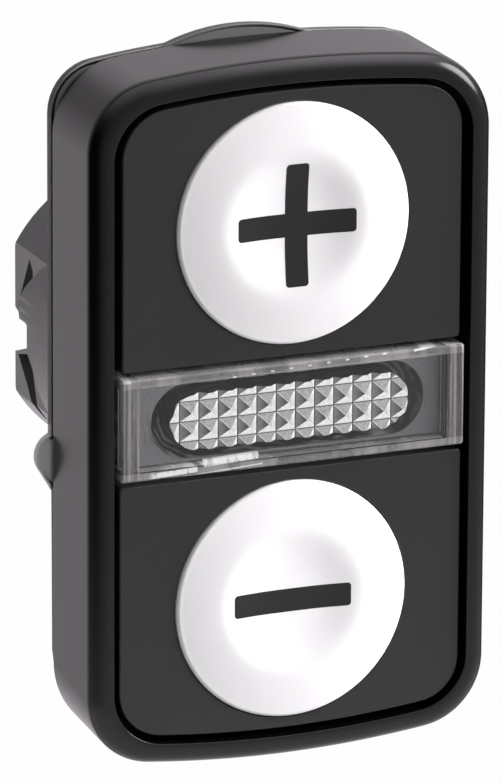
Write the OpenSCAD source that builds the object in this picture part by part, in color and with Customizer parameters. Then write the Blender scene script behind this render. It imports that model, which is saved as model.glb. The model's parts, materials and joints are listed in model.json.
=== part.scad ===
// Double push button head for a 22.5 mm panel hole, in millimetres.
// The panel's front face is the plane Y = 0, the barrel runs along +Y behind it
// and the caps, the lens and the frame stand in front of it, towards -Y. +Z is up.

/* [Front frame] */
// Width of the front frame
bezel_w = 29.6; // [28:0.1:34]
// Height of the front frame at its middle
bezel_h = 50; // [48:0.5:56]
// Radius of the slightly arched top and bottom sides
arch_r = 85; // [60:1:140]
// Radius of the frame's outer corners
corner_r = 5; // [4.6:0.1:8]
// Radius of its two lower corners at the rear edge
low_corner_r = 5.9; // [4.8:0.1:8]
// Distance from the frame's rear edge to the faces of the caps
bezel_depth = 7.5; // [6.6:0.1:9]
// How far the front ring stands proud of the caps
ring_proud = 0.3; // [0.1:0.1:1]
// Width of the ring around the opening
ring_bar = 1.6; // [1.45:0.01:2.4]
// Radius of the opening's corners
opening_corner_r = 4.2; // [3:0.1:5]
// Radius of the ring's rounded shoulder
shoulder_r = 1.2; // [0.9:0.05:1.3]
// Distance of the parting groove behind the ring's front
groove_back = 0.8; // [0.5:0.05:1]
// Wall left around the pocket that takes the rear flange
pocket_wall = 1.2; // [0.9:0.1:1.5]

/* [Flange and gasket] */
// Thickness of the rear flange
flange_t = 1; // [0.8:0.1:1.4]
// Thickness of the thin rim of the flange, between frame and gasket
rim_t = 0.25; // [0.15:0.05:0.5]
// How far that rim is set back from the frame's outline
rim_inset = 0.5; // [0.2:0.1:1]
// Thickness of the panel gasket
gasket_t = 0.6; // [0.5:0.1:1]
// Radius of the gasket's outer corners
gasket_corner_r = 3.6; // [3:0.1:5]
// How far its left side is set back below the ear
gasket_step = 0.25; // [0.1:0.05:0.5]
// Width of the rounded grip lug at the top of flange and gasket
lug_w = 9.2; // [8:0.1:12]
// Height of that lug above the frame
lug_rise = 0.75; // [0.4:0.05:1.2]
// Distance of its middle to the left of the frame's middle
lug_shift = 1; // [0:0.1:2]
// Width of the small ear at the left of the gasket
ear_w = 4.1; // [3:0.1:6]
// How far the ear stands out of the frame's side
ear_rise = 1.05; // [0.4:0.05:1.4]
// Height of the ear's tip
ear_z = -3.8; // [-8:0.1:8]
// Depth of the relief in the gasket's rear face
gasket_relief = 0.25; // [0.1:0.05:0.35]

/* [Caps] */
// Thickness of a cap's face
cap_t = 1.1; // [0.9:0.05:1.2]
// Wall of a cap's skirt
skirt_wall = 1.2; // [0.8:0.1:1.6]
// Chamfer around a cap's face
cap_edge = 0.25; // [0.1:0.05:0.4]
// Gap between a cap and the ring, at top and bottom
cap_gap = 0.5; // [0.3:0.05:0.8]
// Gap between the ring and the lower cap or the lens, at their sides
side_gap = 0.45; // [0.35:0.05:0.9]
// Gap between the ring and the upper cap, at its sides
upper_side_gap = 0.65; // [0.35:0.05:0.9]
// Gap between a cap and the lens
lens_gap = 0.4; // [0.3:0.05:0.8]
// How far a cap travels when it is pressed
travel = 4; // [2:0.1:4.2]

/* [Discs and marks] */
// Rim of a cap's face left above and below its disc
disc_margin = 0.87; // [0.6:0.01:2]
// How far a disc's raised ring stands proud of its cap
disc_proud = 0.5; // [0.35:0.05:0.6]
// How deep a disc sits in its cap
disc_seat = 0.6; // [0.4:0.05:0.7]
// Depth of the dish inside that ring
dish_depth = 0.4; // [0.2:0.05:0.45]
// Fall of a disc's face from the ring out to its edge
edge_fall = 0.2; // [0.1:0.05:0.25]
// Length of the marks
mark_len = 8.7; // [6:0.1:11]
// Width of the bars that form the marks
mark_w = 1.6; // [1:0.1:2.4]
// Rounding of the ends of the marks
mark_round = 0.25; // [0.1:0.05:0.45]
// Thickness of the marks under the deepest point of the dish
mark_t = 0.3; // [0.2:0.05:0.35]

/* [Lens] */
// Height of the clear lens
lens_h = 7.3; // [6.6:0.1:7.8]
// How far the lens stands proud of the caps
lens_proud = 0.4; // [0.3:0.05:1.4]
// Thickness of the lens's front
lens_front_t = 0.5; // [0.5:0.05:1]
// Thickness of the lens's end walls
lens_end_wall = 1.3; // [0.8:0.05:1.6]
// Thickness of the lens's long walls
lens_long_wall = 0.6; // [0.5:0.05:0.8]
// Rim of the reflector's face at the ends of its bowl
bowl_end_rim = 1.2; // [0.5:0.05:1.6]
// Rim of the reflector's face at the long sides of its bowl
bowl_side_rim = 0.25; // [0.15:0.01:0.4]
// How far the bowl narrows at each end, down to the pyramids
bowl_end_slope = 1.3; // [1:0.05:2.4]
// How far the bowl narrows at each long side
bowl_side_slope = 0.7; // [0.4:0.05:0.9]
// Size of one pyramid's base
prism_pitch = 1.43; // [1:0.01:2]
// Height of one pyramid
prism_rise = 0.55; // [0.3:0.05:0.8]
// Thickness of the seal under the lens
lens_seal_t = 0.8; // [0.5:0.1:1.2]

/* [Barrel] */
// Diameter of the barrel where the panel holds it
barrel_d = 22; // [20:0.1:22.2]
// Length of the barrel behind the panel
barrel_len = 20.6; // [17:0.1:24]
// Length of the stretch that the panel and its nut hold
hold_len = 8; // [6:0.1:9]
// Width of the groove behind that stretch
neck_w = 1.5; // [1:0.1:1.8]
// Depth of that groove
neck_depth = 0.7; // [0.4:0.05:0.8]
// Distance from the panel to the rear crown
round_len = 13.2; // [11:0.1:14]
// Length of the solid core that guides the plungers
core_len = 8; // [6:0.5:9]
// Diameter of the rear crown
crown_d = 21.8; // [19.8:0.1:21.8]
// Wall of the barrel at its rear mouth
barrel_wall = 1.4; // [1:0.1:1.5]
// Distance between the two flats at the sides of the crown
flats_w = 18.8; // [18:0.1:19.4]
// Height of the notch in each flat, at its mouth
notch_h = 3.3; // [2:0.1:3.6]
// Height of the notch at its floor
notch_floor_h = 1.7; // [1:0.1:3]
// Depth of the notch in each flat
notch_len = 2.3; // [1.5:0.1:3]
// Height of the notch's middle
notch_z = -0.95; // [-1.5:0.05:1.5]
// Depth of the sunk slots of the bayonet
slot_depth = 0.7; // [0.4:0.1:0.9]

/* [Plungers and springs] */
// Distance of each plunger from the barrel's axis
stem_offset = 6.8; // [6.7:0.05:7]
// Diameter of a plunger's stem
stem_d = 3.5; // [3:0.1:3.7]
// Radial running clearance of a stem in its bore
stem_clearance = 0.05; // [0.03:0.01:0.08]
// Diameter of a stem's end, which carries the foot
stem_end_d = 2.4; // [1.8:0.1:2.6]
// Wire diameter of a return spring
wire_d = 0.4; // [0.3:0.05:0.5]
// Mean diameter of a return spring
spring_d = 4.8; // [4.6:0.1:5]
// Number of turns of a return spring
spring_turns = 7; // [5:1:9]
// Depth of a spring's pocket behind the flange's front
pocket_depth = 5.8; // [5:0.1:6]
// Thickness of a stem's seal
stem_seal_t = 0.8; // [0.5:0.1:1]
// Distance of a foot's peg from its stem, to the contact's side
foot_reach = 4.2; // [3:0.1:4.4]
// Length of a foot's peg
peg_len = 4.6; // [3:0.1:6]
// Diameter of a foot's peg
peg_d = 2.4; // [1.6:0.1:2.6]
// Diameter of the round light guide
guide_d = 4.4; // [3.4:0.1:4.6]

/* [Hidden] */
$fn = 72;

// Small clearances between pieces that are fitted together
fit_gap = 0.1;
seat_gap = 0.15;
stop_gap = 0.15;
end_gap = 0.05;
// Overlap of shapes that are cut from or joined to each other in one piece
cut = 1;
weld = 0.3;

// Planes along Y, from the panel forwards
gasket_front = -gasket_t;
bezel_rear = gasket_front - rim_t;
cap_front = bezel_rear - bezel_depth;
ring_front = cap_front - ring_proud;
lens_front = cap_front - lens_proud;
flange_front = gasket_front - flange_t;
skirt_rear = flange_front - travel - stop_gap;
head_front = cap_front + cap_t;
lens_inside = lens_front + lens_front_t;
lens_rear = flange_front - lens_seal_t;

// The opening and what fills it
opening_w = bezel_w - 2 * ring_bar;
opening_h = bezel_h - 2 * ring_bar;
opening_arch_r = arch_r - ring_bar;
cap_near_z = lens_h / 2 + lens_gap;
cap_corner_r = opening_corner_r - cap_gap;
cap_face_h = opening_h - 2 * cap_gap;
cap_h = cap_face_h / 2 - cap_near_z;
cap_w = opening_w - 2 * upper_side_gap;
disc_z = cap_near_z + cap_h / 2;
disc_r = min(cap_h, cap_w) / 2 - disc_margin;
ring_r = 0.66 * disc_r;
disc_round = 0.3;
lens_w = opening_w - 2 * side_gap;

// Points on a rounded corner and on an arched side of an outline
corner_steps = 9;
arch_steps = 14;

// Parting groove between the side wall and the front ring
groove_step = 0.06;
groove_depth = 0.12;
rear_edge = 0.2;
inner_edge = 0.15;
shoulder_steps = 6;

// The barrel's inside
core_rear = core_len;
barrel_r = barrel_d / 2;
crown_r = crown_d / 2;
boss_r = barrel_r + 0.5;
flat_x = flats_w / 2;
cavity_r = crown_r - barrel_wall;
cavity_x = flat_x - barrel_wall;
crown_chamfer = 0.15;
neck_r = barrel_r - neck_depth;
side_core_x = 4.8;
side_core_h = 8;
side_core_len = core_rear - 1.6;

// The plungers
stem_r = stem_d / 2;
bore_r = stem_r + stem_clearance;
spring_pocket_r = spring_d / 2 + wire_d / 2 + 0.3;
pocket_floor = flange_front + pocket_depth;
seal_front = pocket_floor - stem_seal_t;
foot_front = core_rear + end_gap;
foot_t = 2.4;
hub_r = 2.1;
head_margin = seat_gap + skirt_wall;
snap_r = 0.8;
snap_x = opening_w / 2 - 4.1;
snap_web = 0.23;
head_rib = 1.44;
head_rim = 2.5;
head_web = 4.15;

// The light path
guide_r = guide_d / 2;
guide_rear = core_rear + 0.6;
prism_front = lens_inside + fit_gap;
bowl_front = prism_front + 0.7;
bowl_floor = bowl_front + 1.5;
reflector_w = lens_w - 2 * lens_end_wall - 2 * fit_gap;
reflector_h = lens_h - 2 * lens_long_wall - 2 * fit_gap;
bowl_w = reflector_w - 2 * bowl_end_rim;
bowl_h = reflector_h - 2 * bowl_side_rim;
prism_w = bowl_w - 2 * bowl_end_slope;
prism_h = bowl_h - 2 * bowl_side_slope;

// Points on an arc, from one angle to another
function arc(cx, cz, r, a0, a1, n) =
    [for (i = [0:n]) let (a = a0 + (a1 - a0) * i / n) [cx + r * cos(a), cz + r * sin(a)]];

// The same without its two end points
function inner_arc(cx, cz, r, a0, a1, n) =
    [for (i = [1:n - 1]) let (a = a0 + (a1 - a0) * i / n) [cx + r * cos(a), cz + r * sin(a)]];

// Arched top of an outline with its two corners, from the right side over to the left one
function outline_top(w, h, arch, corner) =
    let (
        arch_z = h / 2 - arch,
        cx = w / 2 - corner,
        cz = arch_z + sqrt(pow(arch - corner, 2) - cx * cx),
        turn = atan2(cz - arch_z, cx)
    )
    concat(
        arc(cx, cz, corner, 0, turn, corner_steps),
        inner_arc(0, arch_z, arch, turn, 180 - turn, arch_steps),
        arc(-cx, cz, corner, 180 - turn, 180, corner_steps)
    );

// Outline with straight sides, arched top and bottom, and rounded upper and lower corners
function outline(w, h, arch, corner, low_corner) =
    concat(
        outline_top(w, h, arch, corner),
        [for (p = outline_top(w, h, arch, low_corner)) -p]
    );

// The frame's own outline, set back by a distance
function frame_outline(inset, corner, low_corner) =
    outline(bezel_w - 2 * inset, bezel_h - 2 * inset, arch_r - inset, corner, low_corner);

// Extrudes an outline drawn in X and Z from one Y plane to another
module between(y0, y1) {
    translate([0, y1, 0])
        rotate([90, 0, 0])
            linear_extrude(y1 - y0)
                children();
}

// Turns a profile of [radius, y] points around the Y axis
module turned(profile) {
    rotate([90, 0, 0])
        rotate_extrude()
            polygon([for (p = profile) [p[0], -p[1]]]);
}

// A round bar along Y
module rod(r, y0, y1) {
    between(y0, y1)
        circle(r);
}

// Rectangle with its middle at a point
module plate(x, z, w, h) {
    translate([x - w / 2, z - h / 2])
        square([w, h]);
}

// Flat shape with straight long sides and round ends
module stadium(w, h) {
    plate(0, 0, w - h, h);
    for (side = [-1, 1])
        translate([side * (w - h) / 2, 0])
            circle(h / 2);
}

// Ring swept round the frame: a closed loop of [inset, corner radius, y, lower radius] layers
module frame_sweep(layers) {
    rings = [for (l = layers) frame_outline(l[0], l[1], is_undef(l[3]) ? l[1] : l[3])];
    n = len(rings[0]);
    m = len(layers);
    points = [for (j = [0:m - 1]) for (p = rings[j]) [p[0], layers[j][2], p[1]]];
    faces = [
        for (j = [0:m - 1]) for (i = [0:n - 1])
            let (a = j * n + i, b = j * n + (i + 1) % n,
                 c = ((j + 1) % m) * n + (i + 1) % n, d = ((j + 1) % m) * n + i)
            each [[a, b, c], [a, c, d]]
    ];
    polyhedron(points, faces, convexity = 6);
}

// Corner radius of the ring at a distance inside the frame's outline
function ring_corner(inset) = corner_r + (opening_corner_r - corner_r) * inset / ring_bar;

// Point on the rounded shoulder: angle 0 meets the side wall, 90 the ring's flat front
function shoulder_angle(back) = asin(1 - back / shoulder_r);

function shoulder_layer(a) =
    let (inset = shoulder_r * (1 - cos(a)))
    [inset, ring_corner(inset), ring_front + shoulder_r * (1 - sin(a))];

// Front frame: side walls, parting groove, rounded ring and the pocket for the flange
function bezel_section() =
    let (
        pocket_corner = corner_r - pocket_wall,
        groove_y = ring_front + groove_back,
        a0 = shoulder_angle(groove_back + groove_step),
        a1 = shoulder_angle(groove_back - groove_step),
        groove_inset = shoulder_r * (1 - cos(a0)) + groove_depth,
        flat_end = ring_bar - inner_edge
    )
    concat(
        [[pocket_wall, pocket_corner, bezel_rear]],
        [[rear_edge, corner_r - rear_edge, bezel_rear, low_corner_r - rear_edge]],
        [[0, corner_r, bezel_rear - rear_edge, low_corner_r]],
        [shoulder_layer(0), shoulder_layer(a0 / 2)],
        [shoulder_layer(a0), [groove_inset, ring_corner(groove_inset), groove_y]],
        [for (k = [0:shoulder_steps]) shoulder_layer(a1 + (90 - a1) * k / shoulder_steps)],
        [[flat_end, ring_corner(flat_end), ring_front]],
        [[ring_bar, opening_corner_r, ring_front + inner_edge]],
        [[ring_bar, opening_corner_r, flange_front], [pocket_wall, pocket_corner, flange_front]]
    );

module bezel() {
    color([0.16, 0.16, 0.17])
        frame_sweep(bezel_section());
}

// Circle through the ends and the top of a bump on a straight side
function bump_r(w, rise) = (w * w / 4 + rise * rise) / (2 * rise);

// Rounded lug at the top of the rear outline, rooted below its arched side
module top_lug() {
    r = bump_r(lug_w, lug_rise);
    intersection() {
        translate([-lug_shift, bezel_h / 2 + lug_rise - r])
            circle(r, $fn = 180);
        plate(-lug_shift, bezel_h / 2, lug_w + 2 * cut, 2 * (lug_rise + rim_inset + weld));
    }
}

// Small ear at the left of the gasket: a round tip that runs out in a slope below
module side_ear() {
    r = 0.42 * ear_w;
    root_z = ear_z - 0.62 * ear_w;
    hull() {
        translate([r - bezel_w / 2 - ear_rise, ear_z])
            circle(r);
        translate([gasket_step + weld - bezel_w / 2, root_z])
            circle(weld);
    }
}

// Cuts in each side of the crown: points are [distance from the rear rim, height]
upper_slot = [[2.9, 5], [3.6, 4.2], [3.2, 1.6], [1.9, 0.9], [0.45, 0.75]];
lower_slot = [[0.6, -2.7], [2.4, -2.2], [3.5, -3.1], [4.8, -6.6], [4.1, -6.6], [2.5, -4.6]];
cam = [[7.8, 6.4], [5.8, 5], [4.4, 3.3], [4, 2.4], [4.2, 1.8], [4.6, 1.2], [7.8, 1.2]];

// Extrudes such points across the barrel's side, from one X plane outwards
module side_shape(points, x) {
    translate([crown_r + cut, 0, 0])
        rotate([0, -90, 0])
            linear_extrude(crown_r + cut - x)
                polygon([for (p = points) [p[1], barrel_len - p[0]]]);
}

// Flat, notch and sunk slots at both sides of the crown, around a raised cam
module crown_side_cuts() {
    mouth = notch_h / 2;
    floor_h = notch_floor_h / 2;
    for (side = [0, 1])
        mirror([side, 0, 0]) {
            difference() {
                translate([flat_x, round_len, -crown_r])
                    cube([crown_r, barrel_len, 2 * crown_r]);
                side_shape(cam, flat_x - cut);
            }
            side_shape([
                [-cut, notch_z + mouth], [0, notch_z + mouth], [notch_len, notch_z + floor_h],
                [notch_len, notch_z - floor_h], [0, notch_z - mouth], [-cut, notch_z - mouth]
            ], cavity_x - cut);
            side_shape(upper_slot, flat_x - slot_depth);
            side_shape(lower_slot, flat_x - slot_depth);
        }
}

// Rear cavity of the barrel, flattened where the crown has its flats
module barrel_cavity() {
    intersection() {
        rod(cavity_r, core_rear, barrel_len + cut);
        translate([-cavity_x, 0, -crown_r])
            cube([2 * cavity_x, barrel_len + 2 * cut, 2 * crown_r]);
    }
    for (side = [-1, 1])
        intersection() {
            rod(cavity_r, core_rear - side_core_len, core_rear + cut);
            translate([side * (side_core_x + cavity_x) / 2, core_rear, 0])
                cube([cavity_x - side_core_x, 2 * side_core_len, side_core_h], center = true);
        }
}

// Pocket, bore and seal seat of one plunger
module plunger_cuts(z) {
    translate([0, 0, z]) {
        rod(spring_pocket_r, flange_front - cut, pocket_floor);
        rod(bore_r, pocket_floor - cut, core_rear + cut);
    }
}

// One moulding: flange, rim with its lug, boss, barrel and core
module body() {
    flange_corner = corner_r - pocket_wall - fit_gap;
    color([0.2, 0.2, 0.21])
        difference() {
            union() {
                between(flange_front, bezel_rear)
                    polygon(frame_outline(pocket_wall + fit_gap, flange_corner, flange_corner));
                between(bezel_rear, gasket_front) {
                    polygon(frame_outline(rim_inset, corner_r - rim_inset, low_corner_r - rim_inset));
                    top_lug();
                }
                rod(boss_r, gasket_front - rim_t, 0);
                turned([
                    [0, flange_front], [barrel_r, flange_front], [barrel_r, hold_len],
                    [neck_r, hold_len], [neck_r, hold_len + neck_w],
                    [barrel_r, hold_len + neck_w], [barrel_r, round_len],
                    [crown_r, round_len], [crown_r, barrel_len - crown_chamfer],
                    [crown_r - crown_chamfer, barrel_len], [0, barrel_len]
                ]);
            }
            barrel_cavity();
            crown_side_cuts();
            plunger_cuts(stem_offset);
            plunger_cuts(-stem_offset);
            rod(guide_r + fit_gap, flange_front - cut, core_rear + cut);
        }
}

// Rubber gasket with its lug, ear, round hole and a shallow relief behind
module panel_gasket() {
    rim = 2.4;
    color([0.28, 0.28, 0.29])
        difference() {
            between(gasket_front, 0) {
                difference() {
                    polygon(frame_outline(0, gasket_corner_r, low_corner_r + gasket_step));
                    plate(-bezel_w / 2, ear_z - bezel_h / 2, 2 * gasket_step, bezel_h);
                }
                top_lug();
                side_ear();
            }
            rod(boss_r + fit_gap, gasket_front - cut, cut);
            difference() {
                between(-gasket_relief, cut)
                    polygon(frame_outline(rim, corner_r - rim, corner_r - rim));
                rod(boss_r + rim, -cut, 2 * cut);
            }
        }
}

// Area that a cap fills, before its skirt is hollowed: sign is 1 above the lens, -1 below
module cap_area(sign, side_gap, inset) {
    half_w = opening_w / 2 - side_gap - inset;
    far_z = opening_h / 2 + cut;
    intersection() {
        polygon(outline(
            2 * half_w, cap_face_h - 2 * inset, opening_arch_r - cap_gap - inset,
            cap_corner_r - inset, cap_corner_r - inset
        ));
        plate(0, sign * (cap_near_z + inset + far_z) / 2, opening_w, far_z - cap_near_z - inset);
    }
}

// Places of the two snap pegs that hold a cap on its plunger
module snap_pegs(sign, r) {
    for (side = [-1, 1])
        translate([side * snap_x, sign * disc_z])
            circle(r, $fn = 24);
}

module cap(sign, side_gap) {
    difference() {
        hull() {
            between(cap_front, cap_front + cap_edge)
                cap_area(sign, side_gap, cap_edge);
            between(cap_front + cap_edge, skirt_rear)
                cap_area(sign, side_gap, 0);
        }
        difference() {
            between(head_front, skirt_rear + cut)
                cap_area(sign, side_gap, skirt_wall);
            between(head_front - weld, skirt_rear)
                snap_pegs(sign, snap_r);
        }
        translate([0, 0, sign * disc_z])
            rod(disc_r + fit_gap, cap_front - cut, cap_front + disc_seat);
    }
}

// Height of a disc's face over its cap: a shallow dish, a raised ring and a falling edge
function face_height(r) =
    r < ring_r ? disc_proud - dish_depth * (1 + cos(180 * r / ring_r)) / 2
    : disc_proud - edge_fall * pow((r - ring_r) / (disc_r - ring_r), 2);

// Solid disc with a rounded shoulder
module disc_blank(z) {
    land = disc_r - disc_round;
    rise = face_height(land);
    steps = 12;
    translate([0, 0, z])
        turned(concat(
            [[0, cap_front + disc_seat], [disc_r, cap_front + disc_seat], [disc_r, cap_front]],
            [for (k = [1:3])
                let (a = 90 * k / 4)
                [disc_r - disc_round * (1 - cos(a)), cap_front - rise * sin(a)]],
            [for (k = [0:steps])
                let (r = land * (1 - k / steps))
                [r, cap_front - face_height(r)]]
        ));
}

// One bar of a mark, with rounded corners
module mark_bar(w, h) {
    plate(0, 0, w - 2 * mark_round, h);
    plate(0, 0, w, h - 2 * mark_round);
    for (sx = [-1, 1], sz = [-1, 1])
        translate([sx * (w / 2 - mark_round), sz * (h / 2 - mark_round)])
            circle(mark_round, $fn = 16);
}

// Pocket and outline of a mark, as deep as the mark is thick below the dish
module mark_column(z, plus) {
    between(cap_front - cut, cap_front - face_height(0) + mark_t)
        translate([0, z]) {
            mark_bar(mark_len, mark_w);
            if (plus) mark_bar(mark_w, mark_len);
        }
}

module disc(z, plus) {
    color([0.95, 0.95, 0.95])
        difference() {
            disc_blank(z);
            mark_column(z, plus);
        }
}

module mark(z, plus) {
    color([0.12, 0.12, 0.13])
        intersection() {
            disc_blank(z);
            mark_column(z, plus);
        }
}

module upper_cap() { color([0.2, 0.2, 0.21]) cap(1, upper_side_gap); }
module lower_cap() { color([0.2, 0.2, 0.21]) cap(-1, side_gap); }
module upper_disc() { disc(disc_z, true); }
module lower_disc() { disc(-disc_z, false); }
module upper_plus_mark() { mark(disc_z, true); }
module lower_minus_mark() { mark(-disc_z, false); }

// The two windows of a plunger's head, between its rib, its rim and the snap pegs
module head_windows(sign) {
    x0 = head_rib / 2;
    x1 = snap_x - snap_r - end_gap - snap_web;
    z0 = stem_offset + stem_r + head_web;
    z1 = cap_face_h / 2 - head_margin - head_rim;
    for (side = [-1, 1])
        plate(side * (x0 + x1) / 2, sign * (z0 + z1) / 2, x1 - x0, z1 - z0);
}

// Plunger: a framed head inside the cap's skirt and a stepped stem into the barrel
module plunger(sign, side_gap) {
    color([0.75, 0.75, 0.72])
        difference() {
            union() {
                between(head_front, skirt_rear)
                    cap_area(sign, side_gap, head_margin);
                translate([0, 0, sign * stem_offset]) {
                    rod(stem_r, skirt_rear, foot_front);
                    rod(stem_end_d / 2, core_rear - weld, foot_front + foot_t);
                }
            }
            between(head_front - cut, skirt_rear + cut)
                snap_pegs(sign, snap_r + end_gap);
            between(head_front - cut, skirt_rear + cut)
                head_windows(sign);
        }
}

module upper_plunger() { plunger(1, upper_side_gap); }
module lower_plunger() { plunger(-1, side_gap); }

// Foot that snaps on the stem's end and stops it against the core
module foot(sign) {
    color([0.75, 0.75, 0.72])
        difference() {
            translate([0, 0, sign * stem_offset]) {
                rod(hub_r, foot_front, foot_front + foot_t);
                between(foot_front, foot_front + foot_t)
                    plate(-sign * foot_reach / 2, 0, foot_reach, peg_d);
                translate([-sign * foot_reach, 0, 0])
                    rod(peg_d / 2, foot_front, foot_front + foot_t + peg_len);
            }
            translate([0, 0, sign * stem_offset])
                rod(stem_end_d / 2 + end_gap / 2, foot_front - cut, foot_front + foot_t + cut);
        }
}

module upper_foot() { foot(1); }
module lower_foot() { foot(-1); }

// Height of a spring's wire along its coil: closed end turns, even turns between them
function coil_y(u, turns, length) =
    let (closed = wire_d * 1.05, open = (length - wire_d - 2 * closed) / (turns - 2))
    u < 1 ? closed * u
    : u > turns - 1 ? closed + open * (turns - 2) + closed * (u - turns + 1)
    : closed + open * (u - 1);

module spring(z) {
    sides = 8;
    per_turn = 16;
    y0 = skirt_rear + end_gap + wire_d / 2;
    length = seal_front - skirt_rear - 2 * end_gap;
    rings = spring_turns * per_turn;
    points = [
        for (i = [0:rings]) for (s = [0:sides - 1])
            let (a = 360 * i / per_turn, b = 360 * s / sides,
                 r = spring_d / 2 + wire_d / 2 * cos(b),
                 y = y0 + coil_y(i / per_turn, spring_turns, length) + wire_d / 2 * sin(b))
            [r * cos(a), y, z + r * sin(a)]
    ];
    walls = [
        for (i = [0:rings - 1]) for (s = [0:sides - 1])
            let (a = i * sides + s, b = i * sides + (s + 1) % sides,
                 c = (i + 1) * sides + (s + 1) % sides, d = (i + 1) * sides + s)
            each [[a, c, b], [a, d, c]]
    ];
    ends = [[for (s = [0:sides - 1]) s], [for (s = [sides - 1:-1:0]) rings * sides + s]];
    color([0.7, 0.7, 0.72])
        polyhedron(points, concat(walls, ends), convexity = 8);
}

module upper_spring() { spring(stem_offset); }
module lower_spring() { spring(-stem_offset); }

// Rubber seal round a stem, on the floor of the spring's pocket
module stem_seal(z) {
    color([0.25, 0.25, 0.26])
        translate([0, 0, z])
            difference() {
                rod(spring_pocket_r - end_gap, seal_front, pocket_floor);
                rod(bore_r, seal_front - cut, pocket_floor + cut);
            }
}

module upper_stem_seal() { stem_seal(stem_offset); }
module lower_stem_seal() { stem_seal(-stem_offset); }

// Clear cover: a thin box that is open to the rear
module lens_cover() {
    color([0.85, 0.87, 0.88, 0.4])
        difference() {
            between(lens_front, lens_rear)
                plate(0, 0, lens_w, lens_h);
            between(lens_inside, lens_rear + cut)
                plate(0, 0, lens_w - 2 * lens_end_wall, lens_h - 2 * lens_long_wall);
        }
}

// Rubber frame under the cover's rear edge
module lens_seal() {
    color([0.25, 0.25, 0.26])
        difference() {
            between(lens_rear, flange_front)
                plate(0, 0, lens_w, lens_h);
            between(lens_rear - cut, flange_front + cut)
                plate(0, 0, lens_w - 2 * lens_end_wall, lens_h - 2 * lens_long_wall);
        }
}

// Reflector: a block with a funnel-shaped bowl that holds the diffuser
module reflector() {
    seat_w = prism_w + 2 * fit_gap;
    seat_h = prism_h + 2 * fit_gap;
    color([0.45, 0.45, 0.46])
        difference() {
            between(bowl_front, flange_front)
                plate(0, 0, reflector_w, reflector_h);
            hull() {
                between(bowl_front - weld, bowl_front)
                    stadium(bowl_w, bowl_h, $fn = 32);
                between(bowl_floor - weld, bowl_floor)
                    stadium(seat_w, seat_h, $fn = 32);
            }
            between(bowl_front - cut, flange_front + cut)
                stadium(seat_w, seat_h);
        }
}

// V-shaped groove along X or Z, as wide as one pyramid at the front
module prism_groove(along_x, at, length) {
    v = [[-prism_pitch / 2 - weld, -weld * 2 * prism_rise / prism_pitch],
         [prism_pitch / 2 + weld, -weld * 2 * prism_rise / prism_pitch], [0, prism_rise]];
    translate(along_x ? [-length / 2, prism_front, at] : [at, prism_front, -length / 2])
        rotate(along_x ? [90, 0, 90] : [0, 0, 0])
            linear_extrude(length)
                polygon(along_x ? [for (p = v) [p[1], p[0]]] : v);
}

// Clear block with a field of small pyramids on its front
module prism_diffuser() {
    columns = ceil(prism_w / prism_pitch / 2);
    rows = ceil(prism_h / prism_pitch / 2);
    color([0.9, 0.92, 0.93, 0.6])
        difference() {
            between(prism_front, flange_front)
                stadium(prism_w, prism_h);
            for (k = [-columns:columns])
                prism_groove(false, k * prism_pitch, 2 * prism_h);
            for (k = [-rows:rows])
                prism_groove(true, k * prism_pitch, 2 * prism_w);
        }
}

// Clear rod that brings the light forward from the rear of the core
module light_guide() {
    dome = guide_r * 0.35;
    color([0.9, 0.92, 0.93, 0.6])
        turned(concat(
            [[0, flange_front], [guide_r, flange_front]],
            [for (k = [0:6])
                let (a = 90 * k / 6)
                [guide_r * cos(a), guide_rear - dome + dome * sin(a)]]
        ));
}

bezel();
body();
panel_gasket();
upper_cap();
upper_disc();
upper_plus_mark();
lower_cap();
lower_disc();
lower_minus_mark();
upper_plunger();
lower_plunger();
upper_foot();
lower_foot();
upper_spring();
lower_spring();
upper_stem_seal();
lower_stem_seal();
lens_cover();
lens_seal();
reflector();
prism_diffuser();
light_guide();
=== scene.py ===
"""Looks of a double push button head: two caps with white discs, a clear lens and a front frame.

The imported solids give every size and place. Each piece here stands for the solid of the same
part, with finer curves, rounded edges and its own moulded finish. Metres, +Z up, front at -Y.
"""
import json
import math

import bmesh
import bpy
from mathutils import Matrix, Vector


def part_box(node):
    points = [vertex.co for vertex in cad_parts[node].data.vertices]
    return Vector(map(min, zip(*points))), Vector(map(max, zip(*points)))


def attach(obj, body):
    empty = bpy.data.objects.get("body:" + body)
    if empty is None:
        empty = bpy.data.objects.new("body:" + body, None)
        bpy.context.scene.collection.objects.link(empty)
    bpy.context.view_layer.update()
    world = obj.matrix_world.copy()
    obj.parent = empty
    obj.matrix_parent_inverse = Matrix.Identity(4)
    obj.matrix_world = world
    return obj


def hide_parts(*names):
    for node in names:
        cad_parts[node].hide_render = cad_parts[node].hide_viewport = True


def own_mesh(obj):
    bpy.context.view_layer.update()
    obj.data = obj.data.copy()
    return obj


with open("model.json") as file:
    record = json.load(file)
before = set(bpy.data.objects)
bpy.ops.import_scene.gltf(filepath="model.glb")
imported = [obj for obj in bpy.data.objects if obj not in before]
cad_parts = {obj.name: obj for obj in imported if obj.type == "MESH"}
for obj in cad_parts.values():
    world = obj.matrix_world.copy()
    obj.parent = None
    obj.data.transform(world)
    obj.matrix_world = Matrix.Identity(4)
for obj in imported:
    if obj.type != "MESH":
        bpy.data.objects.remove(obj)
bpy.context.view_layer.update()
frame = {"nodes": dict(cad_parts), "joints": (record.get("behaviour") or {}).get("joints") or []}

MM = 0.001

# Camera, fitted to measured points of the photograph. Angles in degrees.
CAMERA_AZIMUTH = -22.385
CAMERA_ELEVATION = 16.869
CAMERA_ROLL = 0.309
CAMERA_PLACE = Vector((-200.756, -488.363, 159.194)) * MM
FOCAL_PIXELS = 7918.8
PHOTO_HEIGHT = 784
SENSOR = 36

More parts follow.
